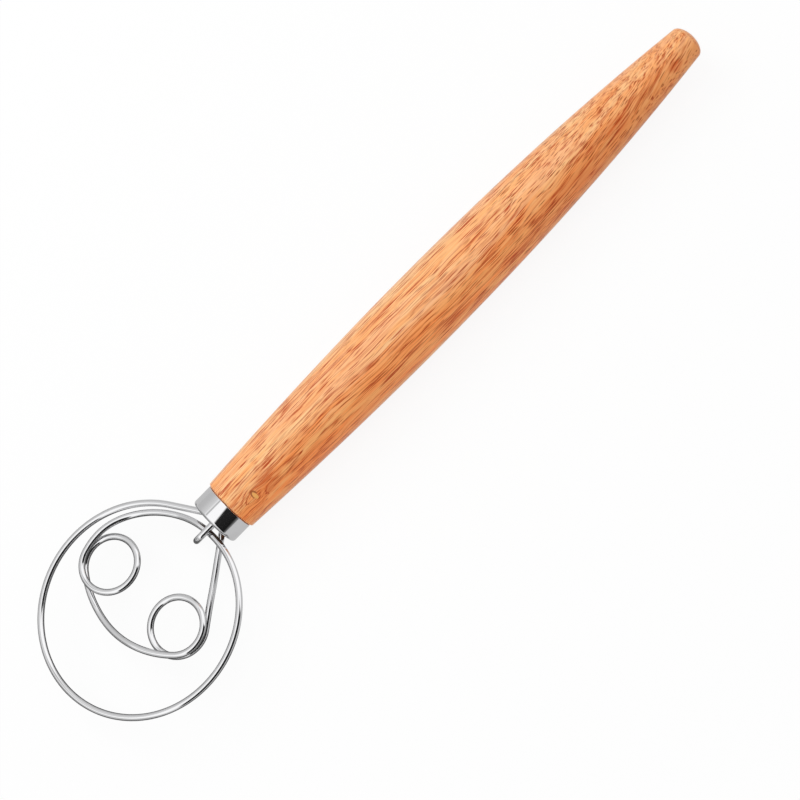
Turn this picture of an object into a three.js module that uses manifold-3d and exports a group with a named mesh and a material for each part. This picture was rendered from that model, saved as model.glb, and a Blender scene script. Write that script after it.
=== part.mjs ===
// Danish dough whisk: a turned wooden handle, a steel ferrule, one bent steel wire and the pin that keeps it.
// Millimetres. The whisk lies level on the belly of its handle. +X runs from the wire head to the butt, and +Z
// is up. The origin is on the surface that it lies on, under the middle of its box.
// While it is built, the axis of the handle is y = z = 0 and the shoulder of the wood is x = 0.

import * as THREE from 'three';
import { mergeVertices } from 'three/addons/utils/BufferGeometryUtils.js';
import Module from 'manifold-3d';

const degrees = THREE.MathUtils.degToRad;

// Handle: lengths run from the shoulder to the butt.
const HANDLE_LENGTH = 247.6;
const BELLY_DIAMETER = 28.8;
const BELLY_PLACE = 99.7;
const FRONT_FULLNESS = 1.8;
const REAR_FULLNESS = 2.2;
const SHOULDER_STEP = 0.75;
const SHOULDER_ROUND = 0.7;
const BUTT_DIAMETER = 13.9;
const BUTT_CROWN = 3.3;
const BUTT_FLAT_DIAMETER = 5;

// Ferrule: a drawn sleeve with its front edge turned in.
const FERRULE_DIAMETER = 21;
const FERRULE_LENGTH = 9;
const FERRULE_WALL = 0.8;
const FERRULE_ROUND = 1.3;
const MOUTH_DIAMETER = 18.4;

// Socket in the handle, filled with resin round the wire ends.
const RESIN_COVER = 0.5;
const RESIN_BEYOND_WIRE = 1.5;
const RESIN_RECESS = 0.2;
const FLARE_WIDTH = 1.5;
const FLARE_DEPTH = 3;

// Wire and the lengths of it that stand in the socket.
const WIRE_DIAMETER = 2.6;
const TAIL_DEPTH = 42;
const TAIL_BEND_RADIUS = 4;
const LEG_ONE_BEND_DEPTH = 1.4;
const LEG_TWO_BEND_DEPTH = 0.2;
const LIP_SPACE = 3;
const TAIL_SPACE = 0.6;

// Ring, which tightens as it winds, and its return past the ferrule. Sideways places run from the axis.
const RING_DIAMETER = 84.2;
const RING_TIGHTENING = 0.9;
const RING_TIGHTENS_AT = degrees(184.4);
const RETURN_TIGHTENING = 1.9;
const RETURN_SIDE = -5.29;
const RETURN_FROM = degrees(-40.3);
const RETURN_TO = degrees(50);
const RETURN_OFFSET = 3.8;
const RETURN_DROP_AFTER = degrees(4);
const RETURN_DROP_SWEEP = degrees(20);
const RETURN_DROP_LAYERS = 0.6;
const RING_RISE_LAYERS = 0.25;

// Eyes: their inside diameter, and their bearing and margin in the ring.
const EYE_DIAMETER = 19.4;
const EYE_ONE_BEARING = degrees(83.5);
const EYE_ONE_MARGIN = 7.4;
const EYE_TWO_BEARING = degrees(-69.4);
const EYE_TWO_MARGIN = 13.6;
const CROSSOVER_CROWN = 6.7;

// Shares of a stretch of wire over which it changes height.
const APPROACH_CLIMB = [0, 0.7];
const CROSSOVER_CLIMB = [0.25, 0.75];
const LEG_TWO_CLIMB = [0.15, 0.6];

// Keeper pin: a hairpin of the same wire round the return.
const KEEPER_SIDE = -0.7;
const KEEPER_LEAN = degrees(22);
const KEEPER_CLEARANCE = 0.5;
const KEEPER_PLAY = 2.7;
const KEEPER_DEPTH = 28;

// Clearances, and how finely round shapes are divided.
const SEAT_GAP = 0.3;
const WIRE_CLEARANCE = 0.45;
const TURNED_SIDES = 40;
const WIRE_SIDES = 10;
const WIRE_STEP = 2.4;
const CUTTER_STEP = 1;
const PROFILE_STEPS = 9;
const ROUND_STEPS = 5;
const GAP_SAMPLES = 800;
const GAP_NEIGHBOUR_DIAMETERS = 4;

// Places that follow from the sizes.
const wireRadius = WIRE_DIAMETER / 2;
const ferruleRadius = FERRULE_DIAMETER / 2;
const ferruleFront = -(SEAT_GAP + FERRULE_LENGTH);
const mouthRadius = MOUTH_DIAMETER / 2;
const bellyRadius = BELLY_DIAMETER / 2;
const buttRadius = BUTT_DIAMETER / 2;
const ringRadius = (RING_DIAMETER - WIRE_DIAMETER) / 2;
const closingRadius = ringRadius - RING_TIGHTENING;
const returnRadius = closingRadius - RETURN_TIGHTENING;
const eyeRadius = (EYE_DIAMETER + WIRE_DIAMETER) / 2;

// Heights of the wire's passes over the axis. Two passes that cross are a layer apart.
const layer = WIRE_DIAMETER + WIRE_CLEARANCE;
const ringHeight = RING_RISE_LAYERS * layer;
const dipHeight = ringHeight - RETURN_DROP_LAYERS * layer;
const legTwoHeight = ringHeight - layer;
const eyeFrontHeight = layer / 2;
const eyeBackHeight = -layer / 2;

// Upper leg of the keeper, from the return that runs midway between its legs. The pin leans to one side.
const keeperUpHeight = WIRE_DIAMETER + KEEPER_CLEARANCE;
const keeperUpSide = -keeperUpHeight * Math.tan(KEEPER_LEAN);
const keeperSpread = Math.hypot(keeperUpHeight, keeperUpSide);

// Sides of the two wire tails in the socket, and the bore that takes them.
const tailOneSide = mouthRadius - WIRE_DIAMETER - LIP_SPACE;
const tailTwoSide = KEEPER_SIDE - WIRE_DIAMETER - TAIL_SPACE;
const bundleRadius = wireRadius + Math.max(
  Math.hypot(tailOneSide, ringHeight),
  Math.hypot(tailTwoSide, legTwoHeight),
  Math.hypot(KEEPER_SIDE + keeperUpSide, ringHeight + keeperUpHeight),
);
const socketRadius = bundleRadius + RESIN_COVER + SEAT_GAP;
const flareRadius = socketRadius + FLARE_WIDTH;
const tailEnd = ferruleFront + TAIL_DEPTH;
const resinEnd = tailEnd + RESIN_BEYOND_WIRE;
const tenonRound = FERRULE_ROUND - FERRULE_WALL - SEAT_GAP;
const tenonRadius = ferruleRadius - FERRULE_WALL - SEAT_GAP;
const tenonFace = ferruleFront + FERRULE_WALL + SEAT_GAP;

// Plan geometry.

const polar = (centre, radius, angle) =>
  new THREE.Vector2(centre.x + radius * Math.cos(angle), centre.y + radius * Math.sin(angle));

const bearing = (from, to) => Math.atan2(to.y - from.y, to.x - from.x);

const angleAfter = (angle, start) => start + THREE.MathUtils.euclideanModulo(angle - start, 2 * Math.PI);

// Bearing at which a line from a point touches a circle. Ahead means anticlockwise of the point.
function tangentBearing(centre, radius, point, ahead) {
  const opening = Math.acos(radius / centre.distanceTo(point));
  return bearing(centre, point) + (ahead ? opening : -opening);
}

// Height on the way from start to end: a half wave, level at both ends of its share of the run.
function climb(start, end, t, [from, to]) {
  const share = THREE.MathUtils.clamp((t - from) / (to - from), 0, 1);
  return start + (end - start) * (1 - Math.cos(Math.PI * share)) / 2;
}

// Round the centre from one bearing to another, climbing over a share of the way.
class Bend extends THREE.Curve {
  constructor(centre, radius, from, to, start, end = start, share = [0, 1]) {
    super();
    Object.assign(this, { centre, radius, from, to, start, end, share });
  }

  getPoint(t, target = new THREE.Vector3()) {
    const place = polar(this.centre, this.radius, THREE.MathUtils.lerp(this.from, this.to, t));
    return target.set(place.x, place.y, climb(this.start, this.end, t, this.share));
  }
}

// Straight in plan from one point to another, climbing over a share of the way.
class Run extends THREE.Curve {
  constructor(from, to, start, end = start, share = [0, 1]) {
    super();
    Object.assign(this, { from, to, start, end, share });
  }

  getPoint(t, target = new THREE.Vector3()) {
    const place = new THREE.Vector2().lerpVectors(this.from, this.to, t);
    return target.set(place.x, place.y, climb(this.start, this.end, t, this.share));
  }
}

// Bend that rounds a corner of the plan between two headings, with the points where it starts and ends.
function roundCorner(corner, headingIn, headingOut, radius, height) {
  const turn = angleAfter(headingOut - headingIn, -Math.PI);
  const side = Math.sign(turn);
  const trim = radius * Math.tan(Math.abs(turn) / 2);
  const first = polar(corner, -trim, headingIn);
  const last = polar(corner, trim, headingOut);
  const centre = polar(first, radius, headingIn + side * Math.PI / 2);
  const from = headingIn - side * Math.PI / 2;
  return { first, last, bend: new Bend(centre, radius, from, from + turn, height) };
}

function route(curves) {
  const path = new THREE.CurvePath();
  curves.forEach((curve) => path.add(curve));
  return path;
}

// Solids.

// Body turned about the axis from a profile of [along, radius] points.
function turned(profile) {
  const points = profile.map(([along, radius]) => new THREE.Vector2(radius, along));
  return new THREE.LatheGeometry(points, TURNED_SIDES).rotateZ(-Math.PI / 2);
}

// Points of an arc or ellipse of a profile, both ends included.
function profileArc(along, radius, alongReach, radiusReach, from, to) {
  return Array.from({ length: ROUND_STEPS + 1 }, (_, i) => {
    const angle = THREE.MathUtils.lerp(from, to, i / ROUND_STEPS);
    return [along + alongReach * Math.cos(angle), radius + radiusReach * Math.sin(angle)];
  });
}

// Round wire along a path.
function rod(path, radius, step) {
  const corners = Array.from({ length: WIRE_SIDES }, (_, i) =>
    polar({ x: 0, y: 0 }, radius, 2 * Math.PI * i / WIRE_SIDES));
  return new THREE.ExtrudeGeometry(new THREE.Shape(corners), {
    steps: Math.ceil(path.getLength() / step),
    extrudePath: path,
    bevelEnabled: false,
  });
}

const wasm = await Module();
wasm.setup();

function toSolid(geometry) {
  const bare = geometry.clone();
  bare.deleteAttribute('normal');
  bare.deleteAttribute('uv');
  const merged = mergeVertices(bare);
  const index = merged.getIndex().array;
  const triangles = [];
  for (let i = 0; i < index.length; i += 3) {
    const [a, b, c] = index.slice(i, i + 3);
    if (a !== b && b !== c && c !== a) triangles.push(a, b, c);
  }
  return new wasm.Manifold(new wasm.Mesh({
    numProp: 3,
    vertProperties: new Float32Array(merged.getAttribute('position').array),
    triVerts: new Uint32Array(triangles),
  }));
}

function fromSolid(solid) {
  const mesh = solid.getMesh();
  const geometry = new THREE.BufferGeometry();
  geometry.setAttribute('position', new THREE.BufferAttribute(new Float32Array(mesh.vertProperties), 3));
  geometry.setIndex(new THREE.BufferAttribute(new Uint32Array(mesh.triVerts), 1));
  geometry.computeVertexNormals();
  return geometry;
}

// Handle.

// Radius of the long barrel, level at the belly and falling away to the shoulder and to the butt.
function barrelRadius(along) {
  const shoulderRadius = ferruleRadius + SHOULDER_STEP;
  if (along < BELLY_PLACE) {
    const share = (BELLY_PLACE - along) / BELLY_PLACE;
    return bellyRadius - (bellyRadius - shoulderRadius) * share ** FRONT_FULLNESS;
  }
  const share = (along - BELLY_PLACE) / (HANDLE_LENGTH - BUTT_CROWN - BELLY_PLACE);
  return bellyRadius - (bellyRadius - buttRadius) * share ** REAR_FULLNESS;
}

function barrelPoints(from, to) {
  return Array.from({ length: PROFILE_STEPS + 1 }, (_, i) => {
    const along = THREE.MathUtils.lerp(from, to, i / PROFILE_STEPS);
    return [along, barrelRadius(along)];
  });
}

function handleGeometry() {
  const socketEnd = resinEnd + SEAT_GAP;
  const roundedRadius = barrelRadius(SHOULDER_ROUND);
  const rimAngle = Math.PI / 2;
  const flatAngle = Math.asin(BUTT_FLAT_DIAMETER / BUTT_DIAMETER);
  const tenonCorner = tenonRadius - tenonRound;
  const shoulderCorner = roundedRadius - SHOULDER_ROUND;
  const crownReach = BUTT_CROWN / Math.cos(flatAngle);
  return turned([
    [socketEnd, 0],
    [socketEnd, socketRadius],
    [tenonFace + FLARE_DEPTH, socketRadius],
    [tenonFace, flareRadius],
    ...profileArc(tenonFace + tenonRound, tenonCorner, -tenonRound, tenonRound, 0, rimAngle),
    [0, tenonRadius],
    ...profileArc(SHOULDER_ROUND, shoulderCorner, -SHOULDER_ROUND, SHOULDER_ROUND, 0, rimAngle),
    ...barrelPoints(SHOULDER_ROUND, BELLY_PLACE).slice(1),
    ...barrelPoints(BELLY_PLACE, HANDLE_LENGTH - BUTT_CROWN).slice(1, -1),
    ...profileArc(HANDLE_LENGTH - BUTT_CROWN, 0, crownReach, buttRadius, rimAngle, flatAngle),
    [HANDLE_LENGTH, 0],
  ]);
}

// Ferrule.

function ferruleGeometry() {
  const roundAlong = ferruleFront + FERRULE_ROUND;
  const roundRadius = ferruleRadius - FERRULE_ROUND;
  const innerRound = FERRULE_ROUND - FERRULE_WALL;
  const lipOuter = Math.asin((mouthRadius - roundRadius) / FERRULE_ROUND);
  const lipInner = Math.asin((mouthRadius - roundRadius) / innerRound);
  const outside = profileArc(roundAlong, roundRadius, -FERRULE_ROUND, FERRULE_ROUND, lipOuter, Math.PI / 2);
  const inside = profileArc(roundAlong, roundRadius, -innerRound, innerRound, Math.PI / 2, lipInner);
  return turned([
    ...outside,
    [-SEAT_GAP, ferruleRadius],
    [-SEAT_GAP, ferruleRadius - FERRULE_WALL],
    ...inside,
    outside[0],
  ]);
}

// Wire head. It turns anticlockwise, seen from above, all the way from the first tail to the second.

const returnCentre = new THREE.Vector2(0, RETURN_SIDE);
const keeperBearing = Math.asin((KEEPER_SIDE - returnCentre.y) / returnRadius);
returnCentre.x = ferruleFront - RETURN_OFFSET - returnRadius * Math.cos(keeperBearing);
const closingCentre = polar(returnCentre, -RETURN_TIGHTENING, RETURN_FROM);
const ringCentre = polar(closingCentre, -RING_TIGHTENING, RING_TIGHTENS_AT);

const eyeCentre = (eyeBearing, margin) => polar(ringCentre, ringRadius - margin - eyeRadius, eyeBearing);
const eyeOne = eyeCentre(EYE_ONE_BEARING, EYE_ONE_MARGIN);
const eyeTwo = eyeCentre(EYE_TWO_BEARING, EYE_TWO_MARGIN);

const legOneCorner = new THREE.Vector2(ferruleFront + LEG_ONE_BEND_DEPTH, tailOneSide);
const ringStart = tangentBearing(ringCentre, ringRadius, legOneCorner, true);
const legTwoCorner = new THREE.Vector2(ferruleFront + LEG_TWO_BEND_DEPTH, tailTwoSide);
const eyeTwoEnd = tangentBearing(eyeTwo, eyeRadius, legTwoCorner, false);

// Each leg with its tail: the corner in the mouth is rounded, and the tail runs straight into the socket.
function legOneRoute(end) {
  const out = roundCorner(legOneCorner, Math.PI, ringStart + Math.PI / 2, TAIL_BEND_RADIUS, ringHeight);
  return [
    new Run(new THREE.Vector2(end, tailOneSide), out.first, ringHeight),
    out.bend,
    new Run(out.last, polar(ringCentre, ringRadius, ringStart), ringHeight),
  ];
}

function legTwoRoute(end) {
  const back = roundCorner(legTwoCorner, eyeTwoEnd + Math.PI / 2, 0, TAIL_BEND_RADIUS, legTwoHeight);
  const eyeExit = polar(eyeTwo, eyeRadius, eyeTwoEnd);
  return [
    new Run(eyeExit, back.first, eyeBackHeight, legTwoHeight, LEG_TWO_CLIMB),
    back.bend,
    new Run(back.last, new THREE.Vector2(end, tailTwoSide), legTwoHeight),
  ];
}

// The arc that carries on from the return and runs into the first eye, touching its circle from outside.
function approachArc() {
  const start = polar(returnCentre, returnRadius, RETURN_TO);
  const inward = polar({ x: 0, y: 0 }, -1, RETURN_TO);
  const reach = start.clone().sub(eyeOne);
  const radius = (eyeRadius ** 2 - reach.lengthSq()) / (2 * (inward.dot(reach) + eyeRadius));
  const centre = start.clone().addScaledVector(inward, radius);
  const end = angleAfter(bearing(centre, eyeOne), RETURN_TO);
  return { end, bend: new Bend(centre, radius, RETURN_TO, end, dipHeight, eyeFrontHeight, APPROACH_CLIMB) };
}

// The arc from eye to eye, round the far side of both.
function crossoverArc() {
  const half = eyeOne.distanceTo(eyeTwo) / 2;
  const offset = (half ** 2 - CROSSOVER_CROWN ** 2) / (2 * CROSSOVER_CROWN);
  const radius = offset + CROSSOVER_CROWN + eyeRadius;
  const middle = eyeOne.clone().lerp(eyeTwo, 0.5);
  const centre = polar(middle, offset, bearing(eyeOne, eyeTwo) + Math.PI / 2);
  const start = bearing(centre, eyeOne);
  const end = angleAfter(bearing(centre, eyeTwo), start);
  const bend = new Bend(centre, radius, start, end, eyeBackHeight, eyeFrontHeight, CROSSOVER_CLIMB);
  return { start, end, bend };
}

// A turn and a part round an eye. Where it lies double, the first pass is above and the second below.
function eyeBend(centre, from, leave) {
  const overlap = angleAfter(leave, from) - from;
  const sweep = 2 * Math.PI + overlap;
  const share = [overlap / sweep, 1 - overlap / sweep];
  return new Bend(centre, eyeRadius, from, from + sweep, eyeFrontHeight, eyeBackHeight, share);
}

function wireRoute() {
  const approach = approachArc();
  const crossover = crossoverArc();
  const closingEnd = angleAfter(RETURN_FROM, RING_TIGHTENS_AT);
  const returnSweep = RETURN_TO - RETURN_FROM;
  const dropStart = (keeperBearing + RETURN_DROP_AFTER - RETURN_FROM) / returnSweep;
  const drop = [dropStart, dropStart + RETURN_DROP_SWEEP / returnSweep];
  return route([
    ...legOneRoute(tailEnd),
    new Bend(ringCentre, ringRadius, ringStart, RING_TIGHTENS_AT, ringHeight),
    new Bend(closingCentre, closingRadius, RING_TIGHTENS_AT, closingEnd, ringHeight),
    new Bend(returnCentre, returnRadius, RETURN_FROM, RETURN_TO, ringHeight, dipHeight, drop),
    approach.bend,
    eyeBend(eyeOne, approach.end, crossover.start),
    crossover.bend,
    eyeBend(eyeTwo, crossover.end, eyeTwoEnd),
    ...legTwoRoute(tailEnd),
  ]);
}

// Least distance between the skins of two stretches of a wire that are not neighbours along its length.
function leastGap(path) {
  const points = path.getSpacedPoints(GAP_SAMPLES);
  const apart = Math.ceil(GAP_SAMPLES * GAP_NEIGHBOUR_DIAMETERS * WIRE_DIAMETER / path.getLength());
  let least = Infinity;
  for (let i = 0; i < points.length; i += 1) {
    for (let j = i + apart; j < points.length; j += 1) {
      least = Math.min(least, points[i].distanceTo(points[j]));
    }
  }
  return least - WIRE_DIAMETER;
}

// Keeper pin: an upper and a lower leg, joined by a half turn round the return.
class HalfTurn extends THREE.Curve {
  constructor(along) {
    super();
    this.along = along;
  }

  getPoint(t, target = new THREE.Vector3()) {
    const across = Math.cos(Math.PI * t);
    return target.set(
      this.along - keeperSpread * Math.sin(Math.PI * t),
      KEEPER_SIDE + keeperUpSide * across,
      ringHeight + keeperUpHeight * across,
    );
  }
}

function keeperRoute(end) {
  const tip = ferruleFront - RETURN_OFFSET - WIRE_DIAMETER - KEEPER_PLAY;
  const bendAlong = tip + keeperSpread;
  const leg = (from, to, way) => {
    const side = KEEPER_SIDE + way * keeperUpSide;
    const height = ringHeight + way * keeperUpHeight;
    return new Run(new THREE.Vector2(from, side), new THREE.Vector2(to, side), height);
  };
  return route([
    leg(end, bendAlong, 1),
    new HalfTurn(bendAlong),
    leg(bendAlong, end, -1),
  ]);
}

// Resin: the filling of the socket and its flare, with a passage for each wire end.
function resinGeometry() {
  const face = tenonFace + RESIN_RECESS;
  const flareSlope = FLARE_WIDTH / FLARE_DEPTH;
  const body = turned([
    [face, 0],
    [face, flareRadius - flareSlope * RESIN_RECESS - SEAT_GAP],
    [tenonFace + FLARE_DEPTH, socketRadius - SEAT_GAP],
    [resinEnd, socketRadius - SEAT_GAP],
    [resinEnd, 0],
  ]);
  const passageRadius = (wireRadius + SEAT_GAP) / Math.cos(Math.PI / WIRE_SIDES);
  return [
    route(legOneRoute(tailEnd + SEAT_GAP)),
    route(legTwoRoute(tailEnd + SEAT_GAP)),
    keeperRoute(ferruleFront + KEEPER_DEPTH + SEAT_GAP),
  ].reduce(
    (filling, path) => filling.subtract(toSolid(rod(path, passageRadius, CUTTER_STEP))),
    toSolid(body),
  );
}

// Assembly.

const headWire = wireRoute();
console.log(`whisk_wire: least gap to itself ${leastGap(headWire).toFixed(2)} mm`);

const steel = { color: 0xc9cacc, roughness: 0.18, metalness: 1 };
const wood = { color: 0xdda36b, roughness: 0.5, metalness: 0 };
const resin = { color: 0x6b4a2a, roughness: 0.35, metalness: 0 };

const pieces = [
  ['handle', handleGeometry(), wood],
  ['ferrule', ferruleGeometry(), steel],
  ['whisk_wire', rod(headWire, wireRadius, WIRE_STEP), steel],
  ['keeper_pin', rod(keeperRoute(ferruleFront + KEEPER_DEPTH), wireRadius, WIRE_STEP), steel],
  ['socket_resin', fromSolid(resinGeometry()), resin],
];

const whisk = new THREE.Group();
whisk.name = 'danish_dough_whisk';
for (const [name, geometry, finish] of pieces) {
  const mesh = new THREE.Mesh(geometry, new THREE.MeshStandardMaterial(finish));
  mesh.name = name;
  whisk.add(mesh);
}

const ringTip = ringCentre.x - ringRadius - wireRadius;
const ringMiddle = (ringCentre.y + ringRadius + closingCentre.y - closingRadius) / 2;
whisk.position.set(-(ringTip + HANDLE_LENGTH) / 2, -ringMiddle, bellyRadius);

export default whisk;
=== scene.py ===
"""Danish dough whisk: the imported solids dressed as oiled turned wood, bright steel wire and cured resin.

Sizes are millimetres, and places in them run from the shoulder of the wood, on the axis of the handle.
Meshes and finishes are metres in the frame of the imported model.
"""

import logging
import math
from dataclasses import dataclass, field
from enum import Enum

import bpy
import numpy as np
from mathutils import Matrix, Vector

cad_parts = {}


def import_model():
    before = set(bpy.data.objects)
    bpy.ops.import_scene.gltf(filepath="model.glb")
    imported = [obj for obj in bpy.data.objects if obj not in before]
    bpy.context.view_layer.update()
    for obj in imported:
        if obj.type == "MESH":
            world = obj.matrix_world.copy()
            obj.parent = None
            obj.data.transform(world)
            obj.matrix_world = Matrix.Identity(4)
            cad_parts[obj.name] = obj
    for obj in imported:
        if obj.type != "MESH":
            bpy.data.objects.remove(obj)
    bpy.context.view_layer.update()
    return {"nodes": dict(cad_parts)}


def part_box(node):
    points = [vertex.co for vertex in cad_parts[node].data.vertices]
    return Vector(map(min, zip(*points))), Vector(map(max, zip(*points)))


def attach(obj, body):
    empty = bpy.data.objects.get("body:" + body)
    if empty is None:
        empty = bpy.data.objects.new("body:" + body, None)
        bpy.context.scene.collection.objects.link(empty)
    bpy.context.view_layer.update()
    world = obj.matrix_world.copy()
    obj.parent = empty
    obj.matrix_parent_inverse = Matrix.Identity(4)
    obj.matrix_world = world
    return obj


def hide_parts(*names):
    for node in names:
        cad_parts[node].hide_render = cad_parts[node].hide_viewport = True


LOG = logging.getLogger("dough_whisk")
MM = 0.001
BODY = "root"
WIRE_PLACE = "wire_place"

Colour = tuple[float, float, float, float]
Triple = tuple[float, float, float]
Pair = tuple[float, float]
Span = tuple[Pair, Pair]

X_AXIS: Triple = (1.0, 0.0, 0.0)
Y_AXIS: Triple = (0.0, 1.0, 0.0)
WHITE: Colour = (1.0, 1.0, 1.0, 1.0)
QUARTER = math.pi / 2


def paint(red: int, green: int, blue: int) -> Colour:
    """Turns a display colour into the linear one that shaders take, by the sRGB curve.

    Args:
        red: Red from 0 to 255.
        green: Green from 0 to 255.
        blue: Blue from 0 to 255.

    Returns:
        Linear red, green and blue, with full alpha.
    """
    shares = np.array([red, green, blue]) / 255
    linear = np.where(shares <= 0.04045, shares / 12.92, ((shares + 0.055) / 1.055) ** 2.4)
    return (*linear.tolist(), 1.0)


class Ray(Enum):
    """A kind of ray that the studio answers in its own way."""

    CAMERA = "Is Camera Ray"
    GLOSSY = "Is Glossy Ray"


class Value:
    """A socket that takes part in sums: each operator adds one Math node to its graph."""

    def __init__(self, graph: "Graph", socket: bpy.types.NodeSocket | None) -> None:
        """Keeps the graph and the output socket.

        Args:
            graph: Graph that the socket belongs to.
            socket: Output socket that gives the value, or None for a node that ends a graph.
        """
        self.graph = graph
        self.socket = socket

    def __add__(self, other: "Value | float") -> "Value":
        """Gives self plus other."""
        return self.graph.math("ADD", self, other)

    __radd__ = __add__

    def __sub__(self, other: "Value | float") -> "Value":
        """Gives self less other."""
        return self.graph.math("SUBTRACT", self, other)

    def __rsub__(self, other: float) -> "Value":
        """Gives other less self."""
        return self.graph.math("SUBTRACT", other, self)

    def __mul__(self, other: "Value | float") -> "Value":
        """Gives self times other."""
        return self.graph.math("MULTIPLY", self, other)

    __rmul__ = __mul__

    def __abs__(self) -> "Value":
        """Gives self without its sign."""
        return self.graph.math("ABSOLUTE", self)

    def fraction(self) -> "Value":
        """Gives self less the whole number below it."""
        return self.graph.math("FRACT", self)

    def angle(self, base: "Value") -> "Value":
        """Gives the angle whose tangent is self over base, in radians."""
        return self.graph.math("ARCTAN2", self, base)

    def rise(self, low: float, high: float) -> "Value":
        """Runs from 0 to 1 on a soft step as self goes from low to high."""
        sockets = {"Value": self, "From Min": low, "From Max": high}
        return self.graph.node("ShaderNodeMapRange", {"interpolation_type": "SMOOTHSTEP"}, sockets)

    def fall(self, low: float, high: float) -> "Value":
        """Runs from 1 to 0 on a soft step as self goes from low to high."""
        return 1 - self.rise(low, high)

    def between(self, start: Pair, end: Pair) -> "Value":
        """Runs from 0 to 1 over the range start, and back to 0 over the range end."""
        return self.rise(*start) * self.fall(*end)


class Graph:
    """A node tree that is written as expressions."""

    def __init__(self, tree: bpy.types.NodeTree) -> None:
        """Clears the tree.

        Args:
            tree: Node tree of a material or world.
        """
        self.tree = tree
        tree.nodes.clear()

    def node(
        self,
        kind: str,
        settings: dict[str, object] | None = None,
        inputs: dict[int | str, object] | None = None,
        output: int | str = 0,
    ) -> Value:
        """Adds any node, sets it, then fills or links its sockets.

        Args:
            kind: The node's type.
            settings: Its properties, set first.
            inputs: Socket names or numbers, each with a value or a Value to link.
            output: The output that is wanted.

        Returns:
            That output.
        """
        made = self.tree.nodes.new(kind)
        for key, setting in (settings or {}).items():
            setattr(made, key, setting)
        for key, given in (inputs or {}).items():
            if isinstance(given, Value):
                self.tree.links.new(given.socket, made.inputs[key])
            else:
                made.inputs[key].default_value = given
        return Value(self, made.outputs[output] if made.outputs else None)

    def math(self, operation: str, first: Value | float, second: Value | float = 0.0) -> Value:
        """Adds one Math node.

        Args:
            operation: The node's operation.
            first: First operand.
            second: Second operand, where the operation has one.

        Returns:
            The result.
        """
        return self.node("ShaderNodeMath", {"operation": operation}, {0: first, 1: second})

    def mix(self, share: Value | float, first: Value | Colour, second: Value | Colour) -> Value:
        """Mixes two colours, which are the node's sockets 6 and 7 and its output 2.

        Args:
            share: Share of the second colour. The node holds it between 0 and 1.
            first: First colour.
            second: Second colour.

        Returns:
            The mixed colour.
        """
        return self.node("ShaderNodeMix", {"data_type": "RGBA"}, {0: share, 6: first, 7: second}, output=2)

    def vector(
        self,
        operation: str,
        first: Value | Triple,
        second: Value | Triple | float,
        output: int | str = 0,
    ) -> Value:
        """Adds one Vector Math node.

        Args:
            operation: The node's operation. SCALE takes a number as its second operand.
            first: First operand.
            second: Second operand.
            output: The output that is wanted.

        Returns:
            The vector or number that it gives.
        """
        key = "Scale" if operation == "SCALE" else 1
        return self.node("ShaderNodeVectorMath", {"operation": operation}, {0: first, key: second}, output)

    def place(self) -> Value:
        """Gives the place in the frame of the model."""
        return self.node("ShaderNodeTexCoord", output="Object")

    def ray(self, kind: Ray) -> Value:
        """Gives 1 for rays of one kind, and 0 for others."""
        return self.node("ShaderNodeLightPath", output=kind.value)

    def larger(self, first: Value, second: Value) -> Value:
        """Gives the larger of two values."""
        return self.math("MAXIMUM", first, second)

    def along(self, place: Value, axis: Triple) -> Value:
        """Gives how far a place lies along an axis."""
        return self.vector("DOT_PRODUCT", place, axis, output="Value")

    def stretched(self, place: Value, lengths: Triple) -> Value:
        """Divides a place by three lengths, so that a pattern of unit size gets those lengths."""
        scale = tuple(1 / length for length in lengths)
        return self.node("ShaderNodeMapping", {"vector_type": "POINT"}, {"Vector": place, "Scale": scale})

    def noise(self, place: Value, lengths: Triple, detail: float = 2.0, roughness: float = 0.5) -> Value:
        """Gives soft noise about 0.5, whose clumps have the three lengths.

        Args:
            place: Place that it varies over.
            lengths: Size of a clump.
            detail: Number of finer layers.
            roughness: Weight of each finer layer.

        Returns:
            The noise.
        """
        sockets = {"Vector": self.stretched(place, lengths), "Scale": 1.0}
        sockets.update({"Detail": detail, "Roughness": roughness})
        return self.node("ShaderNodeTexNoise", {"noise_dimensions": "3D"}, sockets)

    def cells(self, place: Value, lengths: Triple, output: str) -> Value:
        """Gives scattered cells, by the distance to the nearest seed or by the seed's own colour.

        Args:
            place: Place that they are scattered over.
            lengths: Size of a cell.
            output: The output that is wanted.

        Returns:
            That output.
        """
        sockets = {"Vector": self.stretched(place, lengths), "Scale": 1.0, "Randomness": 1.0}
        return self.node("ShaderNodeTexVoronoi", {"feature": "F1"}, sockets, output)

    def relief(self, height: Value, strength: float, depth: float) -> Value:
        """Gives the normal of a surface that a height raises by up to a depth in metres."""
        return self.node("ShaderNodeBump", None, {"Strength": strength, "Distance": depth, "Height": height})

    def surface(self, sockets: dict[str, object]) -> None:
        """Ends a material in one Principled shader, with its socket names and their values or Values."""
        shader = self.node("ShaderNodeBsdfPrincipled", None, sockets)
        self.node("ShaderNodeOutputMaterial", None, {"Surface": shader})


@dataclass(frozen=True)
class Finish:
    """What a piece is made of. Each kind of finish lays out its own graph."""

    name: str

    def material(self) -> bpy.types.Material:
        """Makes the material.

        Returns:
            The new material.
        """
        made = bpy.data.materials.new(self.name)
        made.use_nodes = True
        self.lay_out(Graph(made.node_tree))
        return made

    def lay_out(self, graph: Graph) -> None:
        """Writes the finish as nodes."""
        raise NotImplementedError


@dataclass(frozen=True)
class Patch:
    """A deeper patch in the wood: its place along and across the handle, and its half sizes, in metres."""

    along: float
    across: float
    half_length: float
    half_width: float


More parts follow.
